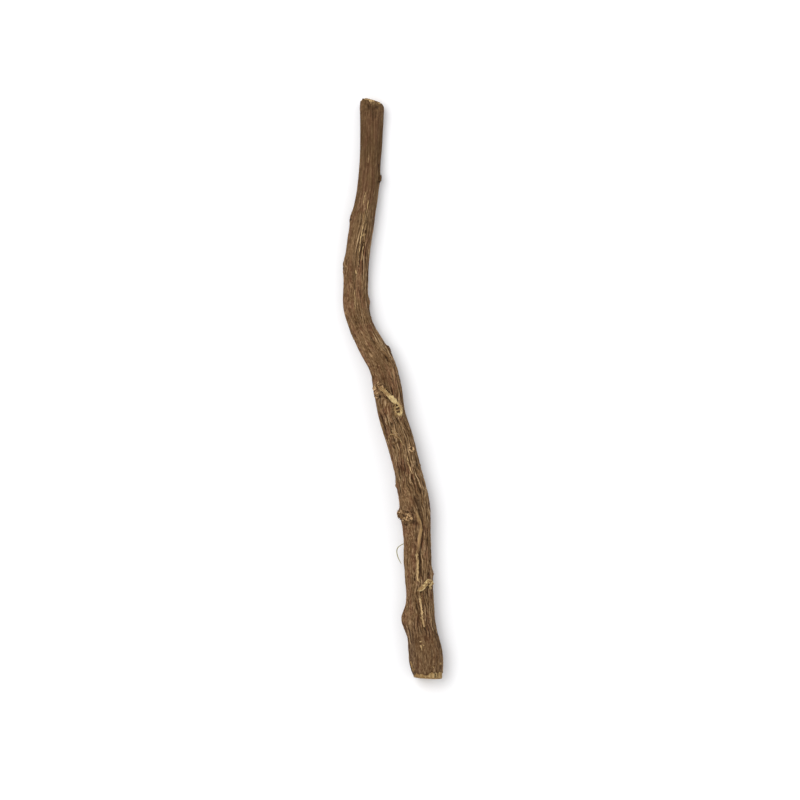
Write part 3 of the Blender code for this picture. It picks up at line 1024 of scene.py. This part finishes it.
def make_ring(along, degrees, radius, rim, pale):
    """A rough ring on the bark, a little tilted."""
    bpy.ops.object.select_all(action="DESELECT")
    bpy.ops.mesh.primitive_torus_add(
        major_segments=56, minor_segments=16, major_radius=radius, minor_radius=rim / 2
    )
    ring = bpy.context.active_object
    stand = on_bark(along, degrees)
    for vertex in ring.data.vertices:
        middle_of_rim = Vector((vertex.co.x, vertex.co.y, 0)).normalized() * radius
        tilt = Vector((0, 0, RING_TILT * middle_of_rim.x - 0.3 * rim))
        crust = 1 + 0.7 * noise.noise(2.2 * vertex.co + stand.translation)
        crust += 0.35 * noise.noise(7.0 * vertex.co + stand.translation)
        vertex.co = on_table(stand @ (middle_of_rim + tilt + (vertex.co - middle_of_rim) * crust)) * MM
    store(ring.data, "pale", [pale] * len(ring.data.vertices))
    return ring


lumps = joined([make_lump(*row) for row in LUMPS])
grown_on_root(lumps, "rootlet_lumps")
rings = joined([make_ring(*row) for row in RING_SCARS])
grown_on_root(rings, "ring_scars")

# %% [markdown]
# ## Fibres
#
# Licorice wood is stringy. The peeled rootlet ends in a lace of fibres, one long fibre stands off
# at the left, and the cuts are fringed with splinters. Curves suit these: each spline is a fibre, its
# points carry the thickness, and a round bevel gives it a body. They are turned into meshes at the
# end.

# %% A bundle of fibres from splines
# Three places far apart, to read three different noises for the push on a point. Blender's own
# noise_vector isn't used, because its three places change with the clock.
PUSH_PLACES = (Vector((0.0, 0.0, 0.0)), Vector((17.3, 5.9, 31.7)), Vector((43.1, 71.5, 11.3)))


def fibres(strands, pale, uneven, steps=4):
    """Many thin closed strands. A strand is a list of points, each with a thickness, in millimetres."""
    curve = bpy.data.curves.new("fibres", "CURVE")
    curve.dimensions = "3D"
    curve.bevel_depth = MM
    curve.bevel_resolution = 2
    curve.resolution_u = steps
    curve.use_fill_caps = True
    for strand in strands:
        spline = curve.splines.new("NURBS")
        spline.points.add(len(strand) - 1)
        spline.order_u = min(4, len(strand))
        spline.use_endpoint_u = True
        for point, (place, thickness) in zip(spline.points, strand):
            point.co = (*(place * MM), 1.0)
            point.radius = thickness / 2
    bundle = bpy.data.objects.new("fibres", curve)
    bpy.context.scene.collection.objects.link(bundle)
    only(bundle)
    bpy.ops.object.convert(target="MESH")
    bundle = bpy.context.active_object
    for vertex in bundle.data.vertices:
        place = 2.4 * vertex.co / MM
        push = Vector([noise.noise(place + apart) for apart in PUSH_PLACES])
        vertex.co += uneven * MM * push
    store(bundle.data, "pale", [pale] * len(bundle.data.vertices))
    return bundle


def strand_on_bark(rows):
    """A strand from rows of along, degrees, height over the bark and thickness."""
    return [(surface_point(math.radians(row[1]), row[0], row[2]), row[3]) for row in rows]


# %% The lace at the peeled rootlet's end
# Each group has its paleness. With it are some threads nearby. A strand's points: along, degrees,
# height over the bark, thickness.
LACE = {
    0.65: (
        (
            (95.7, 60, 0.3, 0.5),
            (96.6, 50, 0.5, 0.8),
            (97.8, 45, 0.4, 0.9),
            (99.0, 45, 0.4, 0.9),
            (99.8, 51, 0.3, 0.8),
        ),
        ((99.2, 46, 0.35, 0.7), (99.8, 51, 0.3, 0.8), (100.1, 57, 0.25, 0.6), (100.3, 61, 0.1, 0.3)),
        (
            (95.9, 56, 0.4, 0.4),
            (97.2, 42, 0.5, 0.5),
            (98.8, 40, 0.4, 0.5),
            (99.9, 46, 0.3, 0.4),
            (100.6, 52, 0.1, 0.2),
        ),
        ((97.4, 68, 0.35, 0.4), (97.2, 60, 0.45, 0.5), (96.9, 51, 0.4, 0.4)),
        ((99.0, 71, 0.35, 0.4), (99.6, 64, 0.3, 0.6), (99.9, 56, 0.2, 0.5)),
        ((95.9, 56, 0.3, 0.3), (95.3, 50, 0.4, 0.25), (94.8, 45, 0.1, 0.12)),
    ),
    0.25: (
        ((96.1, 64, 0.3, 0.35), (96.6, 70, 0.35, 0.4), (97.2, 73, 0.35, 0.45), (98.3, 74, 0.35, 0.45)),
        ((98.0, 74, 0.35, 0.4), (99.2, 72, 0.35, 0.5), (99.7, 68, 0.3, 0.4)),
        ((98.2, 73, 0.35, 0.4), (98.5, 63, 0.4, 0.55), (98.2, 51, 0.4, 0.4)),
        ((99.2, 71, 0.3, 0.3), (99.9, 75, 0.3, 0.25), (100.6, 74, 0.1, 0.15)),
        ((106.8, 135, 0.1, 0.25), (104.9, 129, 0.3, 0.36), (104.2, 113, 0.3, 0.36), (106.0, 99, 0.1, 0.25)),
        ((105.5, 104, 0.1, 0.25), (105.9, 92, 0.28, 0.34), (107.6, 86, 0.28, 0.32), (109.0, 82, 0.0, 0.2)),
        ((104.0, 108, 0.1, 0.2), (104.6, 96, 0.25, 0.28), (105.6, 89, 0.0, 0.2)),
    ),
    0.0: (
        ((97.6, 73, 0.3, 0.28), (98.8, 75, 0.35, 0.28), (100.0, 79, 0.25, 0.25), (100.9, 81, 0.1, 0.15)),
        ((97.1, 73, 0.3, 0.25), (97.3, 82, 0.35, 0.22), (97.4, 91, 0.1, 0.12)),
        ((98.2, 74, 0.3, 0.25), (98.0, 83, 0.35, 0.22), (98.2, 92, 0.1, 0.12)),
        ((95.6, 70, 0.2, 0.3), (96.1, 77, 0.3, 0.22), (96.8, 80, 0.1, 0.12)),
        ((91.2, 104, 0.4, 0.3), (90.9, 96, 0.4, 0.25), (91.2, 88, 0.1, 0.12)),
    ),
}
lace_bundles = []
for pale, strands in LACE.items():
    lace_bundles.append(fibres([strand_on_bark(rows) for rows in strands], pale, uneven=0.22, steps=8))
lace = joined(lace_bundles)
grown_on_root(lace, "frayed_fibres")

# %% One stray fibre
# x, y, z, then the thickness.
STRAY_FIBRE = (
    ((3.7, -47.7, 5.3), 0.20),
    ((2.6, -48.3, 5.5), 0.24),
    ((1.3, -48.9, 5.3), 0.27),
    ((1.0, -50.4, 5.0), 0.30),
    ((1.4, -52.1, 4.7), 0.28),
    ((1.9, -53.2, 4.5), 0.24),
    ((2.5, -54.2, 4.4), 0.12),
)
stray_strand = [(Vector(point), thickness) for point, thickness in STRAY_FIBRE]
stray = fibres([stray_strand], pale=0.6, uneven=0.0, steps=10)
grown_on_root(stray, "stray_fibre")

# %% [markdown]
# ## Splinters at the cuts and lifted flakes of bark
#
# A saw or shears leaves the edge of each cut frayed, so short splinters stand round both rims. Dry
# bark also lifts in small flakes. Both are too many to place by hand, so a seeded random generator
# places them, and every run gives the same root.

# %% Splinters round both cuts
SPLINTERS_PER_CUT = 46
random_splinters = random.Random(7)


def splinter(at_thin_end):
    """A tapered strand on the rim of a cut, lying nearly along the root."""
    degrees = random_splinters.uniform(0, 360)
    length = random_splinters.uniform(0.5, 1.5 if at_thin_end else 2.2)
    tip = cut_lean(math.radians(degrees), at_thin_end) + random_splinters.uniform(-0.15, 0.25)
    turn = random_splinters.uniform(-5, 5)
    width = random_splinters.uniform(0.12, 0.30)
    sunk = random_splinters.uniform(-0.40, -0.12)
    strand = []
    for share, thickness in ((0.0, 0.5), (0.5, 1.0), (1.0, 0.35)):
        from_cut = tip + length * (1 - share)
        along = from_cut if at_thin_end else LENGTH - from_cut
        place = on_bark(along, degrees + turn * share, sunk + 0.10 * share).translation
        strand.append((place, thickness * width))
    return strand


splinter_strands = [splinter(end) for end in (True, False) for _ in range(SPLINTERS_PER_CUT)]
splinters = fibres(splinter_strands, pale=0.5, uneven=0.08)
grown_on_root(splinters, "end_splinters")

# %% Flakes of bark
FLAKES = 110
random_flakes = random.Random(23)

bpy.ops.object.select_all(action="DESELECT")
bpy.ops.mesh.primitive_grid_add(x_subdivisions=12, y_subdivisions=5, size=1.0)
flake_blank = bpy.context.active_object
thicken = flake_blank.modifiers.new("thicken", "SOLIDIFY")
thicken.thickness = 1.0
bpy.ops.object.modifier_apply(modifier=thicken.name)


def make_flake():
    """A copy of the thin plate, laid along the bark with one end lifted."""
    flake = flake_blank.copy()
    flake.data = flake_blank.data.copy()
    bpy.context.scene.collection.objects.link(flake)
    along, degrees = random_flakes.uniform(20, LENGTH - 4), random_flakes.uniform(0, 360)
    length, width = random_flakes.uniform(1.0, 3.2), random_flakes.uniform(0.25, 0.6)
    lift, turn = random_flakes.uniform(0.02, 0.22), random_flakes.uniform(-0.15, 0.15)
    thickness, seed = random_flakes.uniform(0.06, 0.12), random_flakes.uniform(0, 90)
    radius = station_at(along)[3] / 2
    straight_of_flake = []
    for vertex in flake.data.vertices:
        x, y, z = vertex.co
        taper = (1 - 0.8 * abs(2 * x) ** 2) * (1 + 0.5 * noise.noise(Vector((5 * x, seed, 3 * y))))
        over = x * length
        across = y * width * taper + turn * over
        raised = 0.04 + lift * (x + 0.5) ** 2 + 0.10 * (2 * y) ** 2 * lift + z * thickness
        here, angle = along + over, math.radians(degrees) + across / radius
        vertex.co = surface_point(angle, here, raised) * MM
        straight_of_flake.extend((radius * math.cos(angle), radius * math.sin(angle), here))
    store(flake.data, "straight", straight_of_flake)
    store(flake.data, "crest", [0.25] * len(flake.data.vertices))
    return flake


flakes = joined([make_flake() for _ in range(FLAKES)])
bpy.data.objects.remove(flake_blank)
grown_on_root(flakes, "bark_flakes")

# %% [markdown]
# ## Writing shader maths as plain expressions
#
# A material is a graph of nodes. To read like a formula, a small class wraps one output socket and
# lets it be added, subtracted and multiplied, and each operation adds the Math node for it. A
# second class makes the material and has one method that adds any other node.

# %% A socket that can be used in a formula
class Wire:
    """One output of a node, usable in a formula."""

    def __init__(self, maker, socket):
        self.maker, self.socket = maker, socket

    def __add__(self, other):
        return self.maker.maths("ADD", self, other)

    def __sub__(self, other):
        return self.maker.maths("SUBTRACT", self, other)

    def __rsub__(self, other):
        return self.maker.maths("SUBTRACT", other, self)

    def __mul__(self, other):
        return self.maker.maths("MULTIPLY", self, other)

    __radd__, __rmul__ = __add__, __mul__

    def clipped(self):
        return self.maker.node("ShaderNodeClamp", {}, {"Value": self})

    def between(self, low, high):
        """0 at low, 1 at high, and a smooth step from one to the other, also where low is above high."""
        settings = {"interpolation_type": "SMOOTHSTEP"}
        values = {"Value": self, "From Min": low, "From Max": high}
        return self.maker.node("ShaderNodeMapRange", settings, values, "Result")


# %% A finish made by formulas
class Finish:
    """A material and the means to add nodes to it."""

    def __init__(self, name):
        self.material = bpy.data.materials.new(name)
        self.material.use_nodes = True
        self.tree = self.material.node_tree
        self.shader = self.tree.nodes["Principled BSDF"]

    def set_or_link(self, socket, value):
        if isinstance(value, Wire):
            self.tree.links.new(value.socket, socket)
        else:
            socket.default_value = value

    def node(self, kind, settings, values, output=0):
        """Adds a node, sets it up, gives its sockets values or links, and returns one output."""
        made = self.tree.nodes.new(kind)
        for name, value in settings.items():
            setattr(made, name, value)
        for name, value in values.items():
            self.set_or_link(made.inputs[name], value)
        return Wire(self, made.outputs[output])

    def feed(self, name, value):
        """Gives one of the shader's own sockets a value or a link."""
        self.set_or_link(self.shader.inputs[name], value)

    def maths(self, operation, *values):
        return self.node("ShaderNodeMath", {"operation": operation}, dict(enumerate(values)))

    def attribute(self, name, output="Fac"):
        return self.node("ShaderNodeAttribute", {"attribute_name": name}, {}, output)

    def millimetres(self):
        """The place on the object, in millimetres."""
        place = self.node("ShaderNodeTexCoord", {}, {}, "Object")
        return self.scaled(place, (1 / MM, 1 / MM, 1 / MM))

    def scaled(self, place, scales):
        return self.node("ShaderNodeVectorMath", {"operation": "MULTIPLY"}, {0: place, 1: scales})

    def noise(self, place, scale=1.0, detail=2.0, roughness=0.5, distortion=0.0):
        values = {"Vector": place, "Scale": scale, "Detail": detail, "Roughness": roughness}
        return self.node("ShaderNodeTexNoise", {}, {**values, "Distortion": distortion})

    def streaks(self, place, across, onward, **settings):
        """Noise that is finer across the root than along it."""
        return self.noise(self.scaled(place, (across, across, onward)), **settings)

    def mix(self, share, first, second):
        """A colour between two colours."""
        return self.node("ShaderNodeMix", {"data_type": "RGBA"}, {0: share, 6: first, 7: second}, 2)

    def painted(self, colour, layers):
        """A colour with layers of paint over it. A layer is its share, then red, green and blue."""
        for share, *layer_paint in layers:
            colour = self.mix(share, colour, paint(*layer_paint))
        return colour

    def bump(self, height, strength, distance):
        values = {"Height": height, "Strength": strength, "Distance": distance}
        return self.node("ShaderNodeBump", {}, values, "Normal")


def paint(red, green, blue):
    """A colour given as 0 to 255, as a picture editor shows it, turned into the light a shader takes."""
    return (*((channel / 255) ** 2.2 for channel in (red, green, blue)), 1.0)


# %% [markdown]
# ## The bark's finish
#
# Dry licorice bark is a dull brown, redder in some places and more olive in others. Worn cork
# lightens the crests of the lines to tan, the furrows between them are painted nearly black-brown
# as shade, and hair lines run between them. On the calm stretches fine grain takes the place of
# the lines. All patterns read the straight place that was stored for each point, so they bend
# with the root.

# %% Patterns on the bark
HAIR_LINES = 54
HAIR_WANDER = 30

dry_bark = Finish("dry_bark")
place = dry_bark.attribute("straight", "Vector")
crest, furrow_shade, bare, cut, pit_shade, welt, gnarl, calm = (dry_bark.attribute(name) for name in MASKS)
right, top, along = (dry_bark.node("ShaderNodeSeparateXYZ", {}, {0: place}, axis) for axis in "XYZ")
patches = dry_bark.streaks(place, 0.28, 0.09, detail=3.0)
reddish = dry_bark.streaks(place, 0.45, 0.16)
shown = dry_bark.streaks(place, 0.9, 0.18)
worn = dry_bark.streaks(place, 2.0, 0.35, detail=3.0, roughness=0.6)
lines = dry_bark.streaks(place, 2.0, 0.15, roughness=0.6, distortion=0.2)
hairs = dry_bark.streaks(place, 2.9, 0.55, detail=3.0, roughness=0.6)
grain = dry_bark.streaks(place, 2.9, 1.3, roughness=0.6)
grit = dry_bark.noise(place, scale=3.2, detail=3.0, roughness=0.6)
knobbly = dry_bark.noise(place, scale=1.9, detail=3.0, roughness=0.65)
wander = dry_bark.streaks(place, 0.45, 0.05)
turn = dry_bark.maths("ARCTAN2", top, right)
hair_lines = dry_bark.maths("COSINE", turn * HAIR_LINES + wander * HAIR_WANDER)

# %% [markdown]
# ## Where each pattern shows
#
# The young thin end is plain, the middle is weathered, and the thick end is dark and grainy. So
# most patterns are held back by the distance along the root, and by how gnarled or calm the bark
# is at a place.

# %% Shares of the patterns
weathered = along.between(12, 60) * (1 - along.between(145, 182) * 0.75)
grown = 0.12 + 0.13 * along.between(2, 12) + 0.75 * along.between(10, 60)
grainy = (along.between(148, 172) * 0.35 + calm * 0.8).clipped()
grained = (0.3 + weathered * 0.7) * (0.55 + shown.between(0.40, 0.60) * 0.45)
mottled = (gnarl + along.between(9, 2) * 0.6).clipped()
lined = grown * (1 - gnarl * 0.85) * (1 - grainy * 0.75)
# Painted shade on the root's left flank near the thick end.
left_flank_shade = along.between(162, 172) * right.between(-2.0, -4.8)
dark_hairs = hair_lines.between(-0.2, -1.0) * shown.between(0.60, 0.40) * lined
pale_hairs = hair_lines.between(0.45, 1.0) * shown.between(0.47, 0.62) * lined
pale_line = (crest * (0.35 + worn.between(0.38, 0.62) * 0.8)).clipped()
# Painted shade along both sides of the raised welt.
welt_side_shade = welt.between(0.05, 0.20) * welt.between(0.62, 0.40)
# A painted highlight along the welt's crest, broken up by the worn pattern.
welt_highlight = welt.between(0.60, 0.88) * (0.45 + worn.between(0.4, 0.6) * 0.4)
# Painted shade in a thin band at the edge of bare wood, which lies a little lower than the bark.
bare_edge_shade = bare.between(0.02, 0.25) * (1 - bare.between(0.35, 0.60))

# %% [markdown]
# ## Brown in layers
#
# The brown is built as a painter would: a ground colour first, then broad tints, then streaks,
# lines and grain, each laid over the last by its share. Some layers are painted light and shade:
# shade in the furrows, beside the welt, on the left flank near the thick end and at the edges of
# bare wood, and a highlight on the welt's crest.

# %% Brown bark
young = dry_bark.mix(patches.between(0.35, 0.65), paint(80, 59, 37), paint(98, 76, 51))
old = dry_bark.mix(patches.between(0.35, 0.65), paint(98, 72, 44), paint(123, 95, 65))
red_brown = dry_bark.mix(weathered, paint(86, 59, 41), paint(115, 78, 56))
ground = dry_bark.mix(reddish.between(0.46, 0.62) * 0.75, dry_bark.mix(weathered, young, old), red_brown)
brown = dry_bark.painted(
    ground,
    (
        (along.between(158, 174) * 0.60, 80, 56, 35),
        # Painted shade on the left flank near the thick end.
        (left_flank_shade * 0.60, 66, 46, 34),
        (calm * (0.15 + weathered * 0.20), 82, 58, 38),
        (hairs.between(0.50, 0.66) * (0.30 + grown * 0.25), 60, 39, 20),
        (hairs.between(0.48, 0.34) * grown * 0.45, 152, 126, 94),
        (lines.between(0.54, 0.66) * (0.12 + lined * 0.30), 152, 124, 91),
        (lines.between(0.46, 0.34) * (0.14 + lined * 0.30), 60, 39, 20),
        (dark_hairs * 0.60, 44, 28, 13),
        (pale_hairs * 0.50, 172, 144, 110),
        # Painted shade: the furrows between the lines, the crumpled hollows and the cracks.
        (furrow_shade.between(0.12, 0.75) * 0.88, 38, 24, 11),
        (pale_line.between(0.10, 0.65) * (0.88 - grainy * 0.4), 184, 155, 118),
        (grain.between(0.52, 0.60) * (0.36 + grainy * 0.30) * grained, 56, 37, 20),
        (grain.between(0.46, 0.37) * (0.28 + grainy * 0.28) * grained, 164, 134, 98),
        (grit.between(0.58, 0.70) * 0.40, 52, 34, 18),
        (knobbly.between(0.52, 0.62) * mottled * 0.65, 54, 35, 18),
        (knobbly.between(0.46, 0.36) * mottled * 0.55, 154, 122, 86),
        # Painted shade beside the welt.
        (welt_side_shade * lines.between(0.62, 0.45) * 0.65, 56, 37, 20),
        # Painted highlight on the welt's crest.
        (welt_highlight, 164, 132, 90),
        # Painted shade at the edges of bare wood.
        (bare_edge_shade * 0.6, 52, 34, 18),
    ),
)

# %% [markdown]
# ## Bare wood and cut wood
#
# Bare wood on the bark is pale and stringy, and stained at the thick end. The cut faces show rays
# from the middle, faint age rings, pores and a dark heart, and cork darkens their rim.

# %% The wood's colours
torn = dry_bark.streaks(place, 2.6, 0.2, detail=3.0, roughness=0.6)
fibrous = dry_bark.streaks(place, 6.0, 0.8, detail=3.0, roughness=0.6)
at_thick_end = along.between(170, 178)
bare_wood = dry_bark.painted(
    dry_bark.mix(torn.between(0.35, 0.65), paint(132, 105, 70), paint(198, 168, 122)),
    (
        (fibrous.between(0.50, 0.68) * 0.65, 96, 70, 42),
        (at_thick_end * right.between(1.0, -1.5) * 0.85, 126, 96, 62),
        (at_thick_end * 0.45, 140, 112, 70),
    ),
)

flat = dry_bark.scaled(place, (1.0, 1.0, 0.0))
across = dry_bark.node("ShaderNodeVectorMath", {"operation": "NORMALIZE"}, {0: flat})
from_middle = dry_bark.node("ShaderNodeVectorMath", {"operation": "LENGTH"}, {0: flat}, "Value")
ray_values = {"Vector": dry_bark.scaled(across, (7.0, 7.0, 0.0)), "W": from_middle * 1.1}
ray_values.update({"Scale": 1.0, "Detail": 4.0})
rays = dry_bark.node("ShaderNodeTexNoise", {"noise_dimensions": "4D"}, ray_values)
pores = dry_bark.noise(flat, scale=2.6, detail=4.0, roughness=0.7)
age_rings = dry_bark.noise(dry_bark.scaled(flat, (0.5, 0.5, 0.0)), detail=1.0)
ring_wave = dry_bark.maths("SINE", from_middle * 5.5 + age_rings * 6.0)
cut_wood = dry_bark.painted(
    dry_bark.mix(rays.between(0.38, 0.62), paint(124, 93, 54), paint(176, 144, 94)),
    (
        (ring_wave.between(0.1, 1.0) * 0.30, 108, 78, 44),
        (pores.between(0.52, 0.64) * 0.65, 84, 58, 32),
        (pores.between(0.44, 0.34) * 0.5, 190, 160, 110),
        (rays.between(0.36, 0.28) * 0.8, 58, 38, 20),
        (from_middle.between(0.9, 0.2) * 0.6, 96, 68, 38),
    ),
)

# %% Bark, bare wood and cut wood in one finish
cork_rim = (1 - (cut * 2 - 1) * (cut * 2 - 1)) * cut.between(0.02, 0.2)
surface = dry_bark.mix(bare.between(0.35, 0.75), brown, bare_wood)
surface = dry_bark.mix(cut.between(0.3, 0.8), surface, cut_wood)
# The pits are painted dark, as shade; cork darkens the cut's rim.
surface = dry_bark.painted(surface, ((cork_rim * 0.6, 82, 56, 32), (pit_shade.between(0.1, 0.9) * 0.7, 44, 29, 15)))
fine_relief = hairs * 0.7 + grit * 0.6 + lines * 0.6 + hair_lines * lined * 0.25
dry_bark.feed("Base Color", surface)
dry_bark.feed("Roughness", (0.72 + hairs * 0.2 + furrow_shade * 0.1).clipped())
dry_bark.feed("Normal", dry_bark.bump(fine_relief, 0.6, 0.00010))
dry_bark.feed("Specular IOR Level", 0.15)
for piece in (bark, flakes):
    piece.data.materials.append(dry_bark.material)
print("dry_bark:", len(dry_bark.tree.nodes), "nodes")

# %% [markdown]
# ## Callus and fibre
#
# The lumps and rings are callus, a crusty brown cork with pale bare bits; on the lumps the hollows
# between the bits are painted darker, as shade. The peeled rootlet, the arched scar and all fibres
# are bare wood, yellower and cleaner, with fine dark grooves, and the rods are painted darker
# between their ridges and knobs, as shade.

# %% Crust on the lumps and rings
callus = Finish("callus")
place = callus.millimetres()
mottle = callus.noise(place, scale=1.6, detail=4.0, roughness=0.6)
cracks = callus.noise(place, scale=4.5, detail=3.0, roughness=0.6)
paleness = mottle + callus.attribute("pale") * 0.45
crust = callus.painted(
    callus.mix(mottle.between(0.35, 0.65), paint(66, 45, 26), paint(108, 80, 50)),
    (
        (paleness.between(0.66, 0.92), 202, 166, 122),
        # Dark where the paleness is low: random mottle, and painted shade in the lumps' hollows.
        (paleness.between(0.50, 0.30), 48, 32, 19),
        (cracks.between(0.56, 0.68) * 0.6, 46, 31, 18),
    ),
)
callus.feed("Base Color", crust)
callus.feed("Roughness", 0.85)
callus.feed("Specular IOR Level", 0.2)
callus.feed("Normal", callus.bump(cracks + mottle * 0.5, 0.7, 0.00015))
for piece in (lumps, rings):
    piece.data.materials.append(callus.material)
print("callus:", len(callus.tree.nodes), "nodes")


# %% Bare stringy wood, and the one fibre that is still green
def stringy_finish(name, brown, pale_brown, groove):
    """A finish for bare fibres. Where a piece's paleness is high, it takes the paler colour."""
    finish = Finish(name)
    place = finish.millimetres()
    tone = finish.noise(place, scale=1.1, detail=3.0)
    grooves = finish.noise(place, scale=5.0, detail=3.0, roughness=0.65)
    paleness = tone + finish.attribute("pale") * 0.5
    fibre = finish.mix(paleness.between(0.55, 1.10), brown, pale_brown)
    # The groove colour comes in where the paleness is low: random tone, and painted shade between a rod's
    # ridges and knobs.
    fibre = finish.mix(paleness.between(0.45, 0.10), fibre, groove)
    fibre = finish.mix(grooves.between(0.50, 0.66) * 0.75, fibre, groove)
    finish.feed("Base Color", fibre)
    finish.feed("Roughness", 0.8)
    finish.feed("Specular IOR Level", 0.25)
    finish.feed("Normal", finish.bump(grooves, 0.7, 0.00012))
    print(name + ":", len(finish.tree.nodes), "nodes")
    return finish.material


bare_fibre = stringy_finish("bare_fibre", paint(146, 116, 76), paint(212, 187, 134), paint(78, 55, 31))
for piece in (peeled_rootlet, arched_scar, lace, splinters):
    piece.data.materials.append(bare_fibre)
stray.data.materials.append(
    stringy_finish("green_fibre", paint(120, 112, 66), paint(170, 164, 112), paint(104, 98, 58))
)
